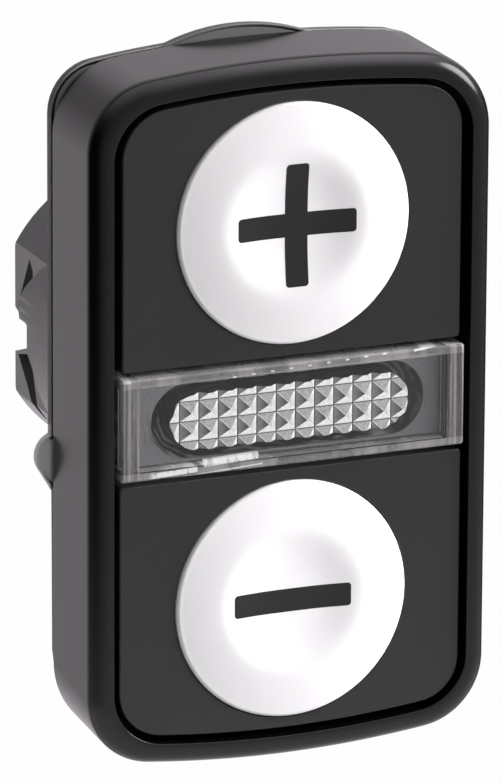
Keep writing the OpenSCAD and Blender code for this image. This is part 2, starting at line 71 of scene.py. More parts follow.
camera_data = bpy.data.cameras.new("camera")
camera_data.sensor_width = SENSOR
camera_data.lens = FOCAL_PIXELS / PHOTO_HEIGHT * SENSOR
camera_data.clip_start = 0.01
camera_data.clip_end = 50
camera = bpy.data.objects.new("camera", camera_data)
bpy.context.scene.collection.objects.link(camera)
turn = (
    Matrix.Rotation(math.radians(CAMERA_AZIMUTH), 4, "Z")
    @ Matrix.Rotation(math.radians(90 - CAMERA_ELEVATION), 4, "X")
    @ Matrix.Rotation(math.radians(CAMERA_ROLL), 4, "Z")
)
camera.matrix_world = Matrix.Translation(CAMERA_PLACE) @ turn
bpy.context.scene.camera = camera
bpy.context.scene.view_settings.view_transform = "Standard"

# Sizes from the solids. The frame's side wall stops a little short of its solid's rear.
REAR_SHORT = 0.15 * MM
frame_low, frame_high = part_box("bezel")
HALF_W, HALF_H = frame_high.x, frame_high.z
RING_FRONT, FRAME_REAR = frame_low.y, frame_high.y - REAR_SHORT
cap_low, cap_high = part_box("lower_cap")
CAP_FRONT, SKIRT_REAR = cap_low.y, cap_high.y
disc_low, disc_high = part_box("upper_disc")
DISC_R = (disc_high.x - disc_low.x) / 2
DISC_Z = (disc_high.z + disc_low.z) / 2
DISC_PROUD = CAP_FRONT - disc_low.y
DISC_SEAT = disc_high.y - CAP_FRONT
lens_low, lens_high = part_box("lens_cover")
LENS_W, LENS_H = lens_high.x * 2, lens_high.z * 2
LENS_FRONT, LENS_REAR = lens_low.y, lens_high.y
FLANGE_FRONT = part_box("lens_seal")[1].y
prism_low, prism_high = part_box("prism_diffuser")
reflector_low, reflector_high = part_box("reflector")
spring_low, spring_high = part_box("upper_spring")
STEM_Z = (spring_low.z + spring_high.z) / 2

# Outline of the frame and of the plates behind it, whose corners aren't all alike
ARCH_R = 85 * MM
CORNER_R = 5 * MM
TOP_RIGHT_R = 5.6 * MM
LOW_CORNER_R = 5.9 * MM
LOW_LEFT_R = 6.5 * MM
DRAWN_IN = 0.24 * MM
DRAWN_Z = -19.9 * MM
DRAWN_REACH = 1.9 * MM
EAR_ROOT = 0.1 * MM
EAR_Z = -3.8 * MM
EAR_REACH = 2.4 * MM
EAR_SOFT = 0.2 * MM

# Section of the frame
RING_BAR = 1.6 * MM
SHOULDER_R = 1.2 * MM
GROOVE_BACK = 0.8 * MM
GROOVE_HALF_W = 0.06 * MM
GROOVE_DEPTH = 0.12 * MM
REAR_ROUND = 0.12 * MM
INNER_ROUND = 0.06 * MM
POCKET_WALL = 1.2 * MM
OPENING_HALF_W = HALF_W - RING_BAR
OPENING_HALF_H = HALF_H - RING_BAR
OPENING_CORNER_R = 3.95 * MM

# Caps, discs and marks
CAP_GAP = 0.5 * MM
UPPER_SIDE_GAP = 0.65 * MM
SIDE_GAP = 0.45 * MM
LENS_GAP = 0.4 * MM
CAP_T = 1.1 * MM
CAP_ROUND = 0.15 * MM
CAP_NEAR_R = 0.3 * MM
TOP_RIGHT_TIGHTER = 0.3 * MM
SKIRT_WALL = 1.2 * MM
SEAT_GAP = 0.1 * MM
SEAT_LIP = 0.05 * MM
DISH_DEPTH = 0.34 * MM
EDGE_FALL = 0.36 * MM
DISC_ROUND = 0.3 * MM
DISC_CHAMFER = 0.05 * MM
DISC_SEGMENTS = 128
RAISED_R = 0.62 * DISC_R
MARK_LEN = 8.7 * MM
MARK_W = 1.66 * MM
MARK_ROUND = 0.25 * MM
MARK_PROUD = 0.012 * MM
MARK_DEPTH = 0.3 * MM
PLUS_SHIFT = (0.15 * MM, -0.07 * MM)
MINUS_SHIFT = (0.0, -0.05 * MM)

# Lens and light path
LENS_FRONT_T = 0.5 * MM
LENS_EDGE = 0.22 * MM
LENS_LONG_WALL = 0.6 * MM
LENS_INNER_R = 0.2 * MM
LENS_END_MILK = 1.3 * MM
MILK_SOFT = 0.05 * MM
PRISM_PITCH = 1.43 * MM
PRISM_RISE = 0.55 * MM
PRISM_SHIFT = 0.46 * MM
PRISM_GAP = 0.1 * MM
BOWL_END_RIM = 1.2 * MM
BOWL_SIDE_RIM = 0.25 * MM
BOWL_DEPTH = 1.5 * MM
REFLECTOR_R = 0.15 * MM
REFLECTOR_LIP = 0.08 * MM

# Springs and dressed solids
WIRE_D = 0.4 * MM
SPRING_TURNS = 7
EDGE_ROUND = 0.08 * MM
FOOT_ROUND = 0.1 * MM
SEAL_ROUND = 0.06 * MM
SCORE_W = 0.09 * MM
SCORE_DEPTH = 0.40 * MM

# Points closer than this are one: in swept meshes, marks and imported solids
SWEEP_WELD, MARK_WELD, SOLID_WELD = 1e-7, 1e-6, 2e-6
# Edges that turn by more degrees than this stay sharp
SHARP = 32

PLASTIC_IOR = 1.5
CLEAR_IOR = 1.49
WHITE, BLACK = (1.0, 1.0, 1.0), (0.0, 0.0, 0.0)


class Wire:
    """A value inside a node tree. Arithmetic on it adds Math nodes."""

    def __init__(self, writer, socket):
        self.writer, self.socket = writer, socket

    def _math(self, operation, *values):
        return self.writer.node("ShaderNodeMath", {"operation": operation}, *values)

    def __add__(self, other):
        return self._math("ADD", self, other)

    def __mul__(self, other):
        return self._math("MULTIPLY", self, other)

    def __sub__(self, other):
        return self._math("SUBTRACT", self, other)

    def __rsub__(self, other):
        return self._math("SUBTRACT", other, self)

    def __truediv__(self, other):
        return self._math("DIVIDE", self, other)

    def __pow__(self, other):
        return self._math("POWER", self, other)

    __radd__, __rmul__ = __add__, __mul__

    def __neg__(self):
        return self._math("MULTIPLY", self, -1.0)

    def __abs__(self):
        return self._math("ABSOLUTE", self)

    def most(self, other):
        """The greater of two values."""
        return self._math("MAXIMUM", self, other)

    def least(self, other):
        """The lesser of two values."""
        return self._math("MINIMUM", self, other)

    def fold(self, span):
        """Rises and falls between 0 and the span, once in two spans."""
        return self._math("PINGPONG", self, span)

    def fraction(self):
        """What is over the whole number below the value."""
        return self._math("FRACT", self)

    def ramp(self, start, end, low=0.0, high=1.0):
        """Smooth step of the value, from low at start to high at end."""
        return self.writer.node(
            "ShaderNodeMapRange", {"interpolation_type": "SMOOTHSTEP"},
            self, start, end, low, high)


class Tree:
    """A node tree that is written as calls, one for each node."""

    def node(self, kind, settings=None, *values, out=0, **named):
        """A node's output. Its first sockets are given in order and the others by name."""
        made = self.tree.nodes.new(kind)
        for name, value in (settings or {}).items():
            setattr(made, name, value)
        for name, value in [*enumerate(values), *named.items()]:
            target = made.inputs[name.replace("_", " ") if isinstance(name, str) else name]
            if isinstance(value, Wire):
                self.tree.links.new(value.socket, target)
            elif value is not None:
                target.default_value = value
        return Wire(self, made.outputs[out])

    def parts(self, vector):
        """The three parts of a vector."""
        split = self.node("ShaderNodeSeparateXYZ", None, vector).socket.node
        return [Wire(self, output) for output in split.outputs]


class Finish(Tree):
    """Node tree of a material or of the world."""

    def __init__(self, owner):
        owner.use_nodes = True
        self.owner, self.tree = owner, owner.node_tree
        self.tree.nodes.clear()

    def here(self):
        """Place of the shaded point on the piece, as three values."""
        return self.parts(self.node("ShaderNodeTexCoord", None, out="Object"))

    def facing(self):
        """Direction that the face itself looks in, as three values."""
        return self.parts(self.node("ShaderNodeNewGeometry", None, out="True Normal"))

    def is_ray(self, *kinds):
        """1 for a ray of one of the kinds, and 0 for any other."""
        answer = self.node("ShaderNodeLightPath", None, out=f"Is {kinds[0]} Ray")
        for kind in kinds[1:]:
            answer = answer.most(self.node("ShaderNodeLightPath", None, out=f"Is {kind} Ray"))
        return answer

    def noise(self, scale, detail=2.0, roughness=0.5, stretch=None):
        """Noise on the piece's own coordinates; scale is in cells per metre."""
        place = self.node("ShaderNodeTexCoord", None, out="Object")
        if stretch:
            place = self.node("ShaderNodeMapping", None, place, Scale=stretch)
        return self.node("ShaderNodeTexNoise", None, Vector=place, Scale=scale, Detail=detail,
                         Roughness=roughness)

    def blend(self, share, first, second):
        """Colour between two colours, whose sockets come after five of other kinds."""
        first, second = (c if isinstance(c, Wire) else (*c, 1) for c in (first, second))
        return self.node("ShaderNodeMix", {"data_type": "RGBA"}, share, *[None] * 5, first, second, out=2)

    def principled(self, **named):
        """The shader of nearly every piece."""
        return self.node("ShaderNodeBsdfPrincipled", None, **named)

    def bump(self, height, distance):
        """Normal of a relief that is this high where the height is 1."""
        return self.node("ShaderNodeBump", None, Strength=1.0, Distance=distance, Height=height)

    def surface(self, shader):
        """Ends the tree with a shader and gives the material or world."""
        is_world = isinstance(self.owner, bpy.types.World)
        kind = "ShaderNodeOutputWorld" if is_world else "ShaderNodeOutputMaterial"
        self.tree.links.new(shader.socket, self.tree.nodes.new(kind).inputs["Surface"])
        return self.owner

    def lit_through(self, shader):
        """Ends the tree of a clear material that lamps shine through."""
        open_way = self.node("ShaderNodeBsdfTransparent", None, (0.92, 0.92, 0.92, 1.0))
        passing = self.is_ray("Shadow", "Diffuse")
        return self.surface(self.node("ShaderNodeMixShader", None, passing, shader, open_way))


def grey(level):
    """A grey with a trace of violet."""
    return (level, level * 0.955, level)


def moulded(name, light, dark, rough, grain, grain_depth):
    """Moulded plastic: faint colour clouding, fine erosion grain and uneven gloss."""
    f = Finish(bpy.data.materials.new(name))
    clouds = f.noise(60.0, 3.0)
    fine = f.noise(grain, 3.0, 0.6)
    colour = f.blend(clouds.ramp(0.3, 0.7), light, dark)
    gloss = rough + (clouds - 0.5) * 0.06 + (fine - 0.5) * 0.05
    return f.surface(f.principled(
        Base_Color=colour, Roughness=gloss, IOR=PLASTIC_IOR,
        Normal=f.bump(fine, grain_depth)))


def plate_colour_and_painted_light(f, colour, face, ear):
    """Colour of a plate, with painted light and painted shade: a paler front face and a paler ear at the
    left are painted light, and a black groove in the face is painted shade.
    """
    forwards = -f.facing()[1]
    # Painted light: faces that look forwards are paler.
    colour = f.blend(forwards.ramp(0.8, 0.95), colour, grey(face))
    # Painted shade: the sides of the groove are black.
    groove = forwards.ramp(0.06, 0.10) * forwards.ramp(0.30, 0.36, 1.0, 0.0)
    colour = f.blend(groove, colour, BLACK)
    # Painted light: the ear beyond the frame's side is paler.
    x, _, z = f.here()
    near_ear = abs(z - EAR_Z).ramp(EAR_REACH - EAR_SOFT, EAR_REACH, 1.0, 0.0)
    beyond_frame = (-x).ramp(HALF_W - EAR_SOFT / 2, HALF_W + EAR_SOFT / 2)
    return f.blend(beyond_frame * near_ear, colour, grey(ear))


def rubber(name, light, dark, rough, face=None, ear=None):
    """Moulded rubber: matt, with a soft mottled bloom. A plate also has painted light on its front face
    and ear, in the two greys given, and painted shade in its groove.
    """
    f = Finish(bpy.data.materials.new(name))
    bloom = f.noise(350.0, 4.0, 0.6)
    pores = f.noise(9000.0, 2.0)
    colour = f.blend(bloom.ramp(0.35, 0.7), light, dark)
    if face:
        # Painted light and painted shade of the plate's face, groove and ear.
        colour = plate_colour_and_painted_light(f, colour, face, ear)
    return f.surface(f.principled(
        Base_Color=colour,
        Roughness=rough + (bloom - 0.5) * 0.15, IOR=PLASTIC_IOR,
        Normal=f.bump(pores, 0.012 * MM)))


def clear(name, tint, rough, ripple):
    """Clear plastic with a trace of moulding ripple, which lamps shine through."""
    f = Finish(bpy.data.materials.new(name))
    flow = f.noise(220.0, 1.0)
    return f.lit_through(f.principled(
        Base_Color=f.blend(flow, tint, WHITE),
        Roughness=rough + flow * 0.01, IOR=CLEAR_IOR, Transmission_Weight=1.0,
        Normal=f.bump(flow, ripple)))


def reflector_plastic():
    """Grey glossy moulding with turning marks round it. Down in its bowl, and less towards the right, it
    is painted black as painted shade with pale arcs of painted reflection along the marks.
    """
    f = Finish(bpy.data.materials.new("reflector_plastic"))
    x, y, z = f.here()
    clouds = f.noise(300.0, 2.0)
    straight = (prism_high.x - prism_low.x - prism_high.z + prism_low.z) / 2
    from_spine = ((abs(x) - straight).most(0.0) ** 2.0 + z ** 2.0) ** 0.5
    marks_and_painted_arcs = (from_spine + clouds * 1.4 * MM).fold(0.20 * MM)
    marks_and_painted_arcs = marks_and_painted_arcs.ramp(0.04 * MM, 0.18 * MM) * f.noise(500.0, 2.0).ramp(0.35, 0.55)
    # Painted shade and painted reflection: black between the turning marks and pale on them.
    turned = f.blend(marks_and_painted_arcs, (0.006, 0.006, 0.006), (0.50, 0.49, 0.50))
    # How much of it there is: from the bowl's front rim downwards, less towards the right.
    bowl = y.ramp(reflector_low.y + 0.02 * MM, reflector_low.y + 0.5 * MM)
    share = bowl * (1 - x.ramp(3 * MM, 9 * MM) * 0.55)
    return f.surface(f.principled(
        Base_Color=f.blend(share, (0.165, 0.16, 0.165), turned),
        Roughness=0.16 + clouds * 0.06, IOR=PLASTIC_IOR, Normal=f.bump(marks_and_painted_arcs, 0.01 * MM)))


def lens_plastic():
    """Clear moulded plastic whose walls carry painted light: pale walls with painted reflection streaks,
    and painted highlights and glints along its edges.
    """
    f = Finish(bpy.data.materials.new("clear_lens"))
    flow = f.noise(220.0, 1.0)
    x, _, z = f.here()
    end, side = LENS_W / 2 - LENS_END_MILK, LENS_H / 2 - LENS_LONG_WALL
    ends = abs(x).ramp(end - MILK_SOFT, end)
    sides = abs(z).ramp(side - MILK_SOFT, side)
    # Painted reflections: streaks on the long walls and lines on the end walls.
    painted_reflection_streaks = f.noise(420.0, 3.0, 0.6, (1.0, 0.5, 0.25)).ramp(0.38, 0.62)
    lines = f.noise(2600.0, 2.0, 0.6, (1.0, 0.1, 0.02)).ramp(0.35, 0.65)
    # Share of painted light: pale end walls, long walls and corners over the clear glass.
    painted_light_share = (ends * (lines * 0.26 + 0.34)).most(sides * (painted_reflection_streaks * 0.36 + 0.32))
    painted_light_share = painted_light_share.most(ends * sides * 0.8)

    def painted_highlight_bar(left, right, low, high, slope=0.0, share=1.0):
        """Painted highlight: a bar between two x and two z, in millimetres, that climbs to the right with
        the slope.
        """
        level, soft = z - x * slope, 0.07 * MM
        across = x.ramp(left * MM, left * MM + soft) * x.ramp(right * MM - soft, right * MM, share, 0.0)
        return (across * level.ramp(low * MM, low * MM + soft)
                * level.ramp(high * MM - soft, high * MM, 1.0, 0.0))

    # Painted highlights and a row of painted glints, at fixed places along the lens's edges.
    grain = f.noise(1500.0, 2.0, 0.6, (1.0, 0.3, 0.5)).ramp(0.36, 0.50)
    painted_glint_dots = (x + 4.41 * MM).fold(0.697 * MM).ramp(0.08 * MM, 0.20 * MM, 1.0, 0.0)
    painted_highlights, *others = (
        painted_highlight_bar(-10.7, -7.1, -3.13, -2.68, 0.04) * grain,
        painted_highlight_bar(-6.7, -2.6, -2.86, -2.30, 0.04) * (grain * 0.3 + 0.6),
        painted_highlight_bar(-10.7, -2.3, -3.25, -3.09, 0.055),
        painted_highlight_bar(8.9, 11.5, 2.54, 2.74, 0.1),
        painted_highlight_bar(-4.8, 7.1, 3.20, 3.38, 0.039) * painted_glint_dots,
        painted_highlight_bar(11.3, 12.7, 3.60, 4.2, 0.0, 0.55),
        painted_highlight_bar(-13.3, -12.0, 3.40, 3.75, 0.0, 0.4),
    )
    for other in others:
        painted_highlights = painted_highlights.most(other)

    glass = f.principled(
        Base_Color=(0.97, 0.975, 0.98, 1.0),
        Roughness=0.02 + flow * 0.01, IOR=CLEAR_IOR, Transmission_Weight=1.0,
        Normal=f.bump(flow, 0.001 * MM))
    # Grey of the painted light on the walls, darker on the end walls between the lines.
    wall = f.blend(ends * (1 - lines), (0.40, 0.385, 0.40), (0.15, 0.14, 0.15))
    # Shader of the painted light and the painted highlights.
    painted_light_walls = f.principled(
        Base_Color=f.blend(painted_highlights, wall, (0.95, 0.95, 0.95)),
        Roughness=0.2, IOR=CLEAR_IOR)
    # The glass, under the painted light by its share.
    return f.lit_through(f.node("ShaderNodeMixShader", None, painted_light_share.most(painted_highlights * 0.75), glass, painted_light_walls))


def painted_glow_prism():
    """Moulded pyramids with painted light: a glow, though they are no lamp, brightest on their lower
    faces; a painted highlight along their ridges; and painted shade in their seams and on their upper and
    left faces.
    """
    f = Finish(bpy.data.materials.new("painted_glow_prism"))
    flow, fine = f.noise(900.0, 2.0), f.noise(5200.0, 3.0, 0.6)
    right, back, up = f.facing()
    facet, upper = (-back).ramp(0.3, 0.6), up.ramp(0.2, 0.5)
    x, _, z = f.here()
    column = x - PRISM_SHIFT
    from_column, from_row = column.fold(PRISM_PITCH / 2), z.fold(PRISM_PITCH / 2)
    # Painted shade: dark seams where the pyramids meet.
    painted_seam_shade = 1 - from_column.ramp(0.01 * MM, 0.06 * MM) * from_row.ramp(0.01 * MM, 0.06 * MM)
    left_half = (column / PRISM_PITCH).fraction().ramp(0.45, 0.55, 1.0, 0.0)
    # Painted highlight along the upper left ridges.
    painted_ridge_highlight = abs(from_column - from_row).ramp(0.01 * MM, 0.06 * MM, 1.0, 0.0) * left_half * upper
    # Painted glow, though the prism is no lamp: most on the lower faces, some on the upper and right
    # faces, and a little everywhere.
    glow = (-up).ramp(0.2, 0.5) * 0.60 + upper * (0.02 + fine * 0.16) + 0.06
    glow = glow + right.ramp(0.2, 0.5) * (0.10 + from_column.ramp(0.05 * MM, 0.5 * MM, 0.55, 0.0))
    glow = (glow + painted_ridge_highlight * 0.6) * (fine * 0.7 + 0.65) * (1 - painted_seam_shade) * facet
    # Base colour: grain, with painted shade on the seams, the upper faces and the left faces.
    grain_and_painted_shade = facet * (fine * 0.7 + 0.3) * (1 - painted_seam_shade * 0.9) * (1 - upper * 0.40)
    grain_and_painted_shade = grain_and_painted_shade * (1 - (-right).ramp(0.2, 0.5) * from_column.ramp(0.1 * MM, 0.6 * MM) * 0.85)
    return f.surface(f.principled(
        Base_Color=f.blend(grain_and_painted_shade, (0.01, 0.01, 0.01), (0.46, 0.46, 0.47)),
        Roughness=0.12 + flow * 0.10, IOR=PLASTIC_IOR, Metallic=0.08,
        Emission_Color=f.blend(glow, BLACK, WHITE), Emission_Strength=1.0,
        Normal=f.bump(fine, 0.012 * MM)))


def wire_steel():
    """Drawn steel wire with faint lines along it."""
    f = Finish(bpy.data.materials.new("spring_steel"))
    drawn = f.noise(4000.0, 2.0, 0.5, (1.0, 6.0, 1.0))
    return f.surface(f.principled(
        Base_Color=f.blend(drawn, (0.50, 0.50, 0.52), (0.68, 0.67, 0.66)),
        Roughness=0.22 + drawn * 0.14, Metallic=1.0, Normal=f.bump(drawn, 0.006 * MM)))


# Moulded finishes: two colours, roughness, and the grain in cells per metre with its depth
FRAME_PLASTIC = moulded("frame_plastic", grey(0.0035), grey(0.0025), 0.22, 7000.0, 0.004 * MM)
RING_PLASTIC = moulded("ring_plastic", grey(0.0025), grey(0.0015), 0.20, 7000.0, 0.003 * MM)
CAP_PLASTIC = moulded("cap_plastic", grey(0.021), grey(0.018), 0.30, 6000.0, 0.008 * MM)
# The two discs are of one white plastic: the upper disc's darker white is painted shade and the lower
# disc's paler white is painted light.
UPPER_DISC_PAINTED_SHADE = moulded(
    "upper_disc_painted_shade", (0.875, 0.85, 0.875), (0.865, 0.84, 0.865), 0.16, 1500.0, 0.002 * MM)
LOWER_DISC_PAINTED_LIGHT = moulded(
    "lower_disc_painted_light", (0.98, 0.955, 0.98), (0.97, 0.945, 0.97), 0.16, 1500.0, 0.002 * MM)
MARK_PLASTIC = moulded("mark_plastic", grey(0.013), grey(0.010), 0.35, 5000.0, 0.006 * MM)
BODY_PLASTIC = moulded("body_plastic", grey(0.150), grey(0.132), 0.26, 6000.0, 0.006 * MM)
PLUNGER_PLASTIC = moulded(
    "plunger_plastic", (0.62, 0.60, 0.54), (0.56, 0.54, 0.48), 0.38, 4000.0, 0.010 * MM)
REFLECTOR_PLASTIC = reflector_plastic()
# The gasket's front face and ear greys are painted light, and its groove is painted black as painted
# shade.
GASKET_RUBBER = rubber("gasket_rubber", grey(0.105), grey(0.09), 0.5, face=0.40, ear=0.85)
SEAL_RUBBER = rubber("seal_rubber", grey(0.030), grey(0.024), 0.55)
CLEAR_LENS = lens_plastic()
PAINTED_GLOW_PRISM = painted_glow_prism()
CLEAR_ROD = clear("clear_rod", (0.95, 0.96, 0.97), 0.05, 0.002 * MM)
SPRING_STEEL = wire_steel()


def settle(mesh, name, material, body, node, sharp=SHARP):
    """Makes the object of a mesh, rides it on its body and lets it stand for its solid."""
    mesh.name = name
    if not mesh.materials:
        mesh.materials.append(material)
    mesh.polygons.foreach_set("use_smooth", [True] * len(mesh.polygons))
    mesh.set_sharp_from_angle(angle=math.radians(sharp))
    made = bpy.data.objects.new(name, mesh)
    bpy.context.scene.collection.objects.link(made)
    made.modifiers.new("even_shading", "WEIGHTED_NORMAL").keep_sharp = True
    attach(made, body)
    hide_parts(node)
    return made


def piece(name, bm, material, body, node, sharp=SHARP):
    """Turns a finished shape into its object."""
    mesh = bpy.data.meshes.new(name)
    bm.to_mesh(mesh)
    bm.free()
    return settle(mesh, name, material, body, node, sharp)


def clean(mesh, weld=None):
    """Turns all faces of a mesh outwards, after its points are welded if a distance is given."""
    bm = bmesh.new()
    bm.from_mesh(mesh)
    if weld:
        bmesh.ops.remove_doubles(bm, verts=bm.verts, dist=weld)
    bmesh.ops.recalc_face_normals(bm, faces=bm.faces)
    bm.to_mesh(mesh)
    bm.free()


def loft(rings, loop=False):
    """Shell through rings that have equally many points, closed by two ends or by a loop."""
    bm = bmesh.new()
    rows = [[bm.verts.new(p) for p in ring] for ring in rings]
    count = len(rows[0])
    for near, far in zip(rows, rows[1:] + rows[:1] if loop else rows[1:]):
        for i in range(count):
            j = (i + 1) % count
            bm.faces.new((near[i], near[j], far[j], far[i]))
    if not loop:
        bm.faces.new(rows[0])
        bm.faces.new(rows[-1][::-1])
    bmesh.ops.recalc_face_normals(bm, faces=bm.faces)
    return bm


def at(points, y):
    """An outline's points, placed at a depth."""
    return [(x, y, z) for x, z in points]


def quarter_turn(steps):
    """Sine and cosine of the angles that part a quarter turn, both ends included."""
    angles = [math.radians(90 * k / steps) for k in range(steps + 1)]
    return [(math.sin(a), math.cos(a)) for a in angles]


def arc_points(cx, cz, r, start, end, steps):
    """Points on an arc, angles in degrees."""
    angles = [math.radians(start + (end - start) * i / steps) for i in range(steps + 1)]
    return [(cx + r * math.cos(a), cz + r * math.sin(a)) for a in angles]


def between(start, end, steps):
    """Points that part a straight stretch evenly, without its ends."""
    (x0, z0), (x1, z1) = start, end
    return [(x0 + (x1 - x0) * k / steps, z0 + (z1 - z0) * k / steps) for k in range(1, steps)]


def corner_centre(half_w, half_h, arch, r):
    """Centre of the rounding between a straight side and an arched end."""
    cx = half_w - r
    return cx, half_h - arch + math.sqrt((arch - r) ** 2 - cx * cx)


def arched_top(half_w, half_h, arch, right, left, corner_steps, arch_steps):
    """Arched top of an outline with its two corners, from the right side over to the left one."""
    arch_z = half_h - arch
    near_x, near_z = corner_centre(half_w, half_h, arch, right)
    far_x, far_z = corner_centre(half_w, half_h, arch, left)
    near_turn = math.degrees(math.atan2(near_z - arch_z, near_x))
    far_turn = math.degrees(math.atan2(far_z - arch_z, far_x))
    return (arc_points(near_x, near_z, right, 0, near_turn, corner_steps)
            + arc_points(0, arch_z, arch, near_turn, 180 - far_turn, arch_steps)[1:-1]
            + arc_points(-far_x, far_z, left, 180 - far_turn, 180, corner_steps))


def arched_outline(half_w, half_h, arch, corners, corner_steps=16, arch_steps=30):
    """Outline with straight sides and arched top and bottom, corners counted from the top right."""
    size = (half_w, half_h, arch)
    top_right, top_left, low_left, low_right = corners
    low = arched_top(*size, low_left, low_right, corner_steps, arch_steps)
    return arched_top(*size, top_right, top_left, corner_steps, arch_steps) + [(-x, -z) for x, z in low]


def line_mesh(name, points, **values):
    """Closed line of edges, as the raw form of a piece, with named vectors on its points."""
    mesh = bpy.data.meshes.new(name)
    count = len(points)
    mesh.from_pydata([(*p, 0) for p in points], [(i, (i + 1) % count) for i in range(count)], [])
    for label, rows in values.items():
        attribute = mesh.attributes.new(label, "FLOAT_VECTOR", "POINT")
        for spot, row in zip(attribute.data, rows):
            spot.vector = (*row, 0)[:3]
    made = bpy.data.objects.new(name, mesh)
    bpy.context.scene.collection.objects.link(made)
    return made


class Maker(Tree):
    """A Geometry Nodes tree with named inputs, run once on an object and turned into a mesh."""

    def __init__(self, name, **inputs):
        self.tree = bpy.data.node_groups.new(name, "GeometryNodeTree")
        face = self.tree.interface
        face.new_socket("Geometry", in_out="INPUT", socket_type="NodeSocketGeometry")
        face.new_socket("Geometry", in_out="OUTPUT", socket_type="NodeSocketGeometry")
        self.values, self.keys = inputs, {}
        kinds = {float: "NodeSocketFloat", bpy.types.Object: "NodeSocketObject",
                 bpy.types.Material: "NodeSocketMaterial"}
        for label, value in inputs.items():
            kind = kinds[type(value)]
            self.keys[label] = face.new_socket(label, in_out="INPUT", socket_type=kind).identifier
        self.source = self.tree.nodes.new("NodeGroupInput")

    def given(self, label="Geometry"):
        """The value of one of the tree's inputs."""
        return Wire(self, self.source.outputs[label])

    def joined(self, *geometries):
        """Several geometries as one."""
        made = self.tree.nodes.new("GeometryNodeJoinGeometry")
        for geometry in geometries:
            self.tree.links.new(geometry.socket, made.inputs[0])
        return Wire(self, made.outputs[0])

    def coated(self, geometry, label):
        """A tree's last steps: real instances, and the material of one of its inputs."""
        geometry = self.node("GeometryNodeRealizeInstances", None, geometry)
        return self.node("GeometryNodeSetMaterial", None, geometry, None, self.given(label))

    def mesh(self, result, carrier, *helpers):
        """Ends the tree, evaluates it on the carrier, drops the helpers and gives the plain mesh."""
        end = self.tree.nodes.new("NodeGroupOutput")
        self.tree.links.new(result.socket, end.inputs[0])
        modifier = carrier.modifiers.new("make", "NODES")
        modifier.node_group = self.tree
        for label, value in self.values.items():
            modifier[self.keys[label]] = value
        graph = bpy.context.evaluated_depsgraph_get()
        made = bpy.data.meshes.new_from_object(carrier.evaluated_get(graph))
        carrier.modifiers.remove(modifier)
        for helper in (carrier, *helpers):
            bpy.data.objects.remove(helper)
        return made

    def mesh_alone(self, result):
        """The plain mesh of a tree that uses nothing of its carrier."""
        return self.mesh(result, line_mesh("carrier", [(0, 0), (MM, 0), (0, MM)]))


def frame_profile():
    """Section of the frame: [inset, y, lean] of the side wall, parting groove, ring and pocket.

    Lean is the share that a point has of the rear edge's own outline.
    """
    def shoulder(angle):
        a = math.radians(angle)
        return (SHOULDER_R * (1 - math.cos(a)), RING_FRONT + SHOULDER_R * (1 - math.sin(a)), 0)

    def angle_at(back):
        return math.degrees(math.asin(1 - back / SHOULDER_R))

    low, high = angle_at(GROOVE_BACK + GROOVE_HALF_W), angle_at(GROOVE_BACK - GROOVE_HALF_W)
    wall_rear, wall_front = FRAME_REAR - REAR_ROUND, RING_FRONT + SHOULDER_R
    points = [(POCKET_WALL, FRAME_REAR, 0)]
    points += [(REAR_ROUND * (1 - s), FRAME_REAR - REAR_ROUND * (1 - c), 1) for s, c in quarter_turn(4)]
    points += [(0, wall_rear + (wall_front - wall_rear) * k / 4, 1 - k / 4) for k in range(1, 4)]
    points += [shoulder(low * k / 4) for k in range(5)]
    points.append((shoulder(low)[0] + GROOVE_DEPTH, RING_FRONT + GROOVE_BACK, 0))
    points += [shoulder(high + (90 - high) * k / 14) for k in range(15)]
    points += [(RING_BAR - INNER_ROUND * (1 - s), RING_FRONT + INNER_ROUND * (1 - c), 0)
               for s, c in quarter_turn(4)]
    points += [(RING_BAR, FLANGE_FRONT, 0), (POCKET_WALL, FLANGE_FRONT, 0)]
    return points


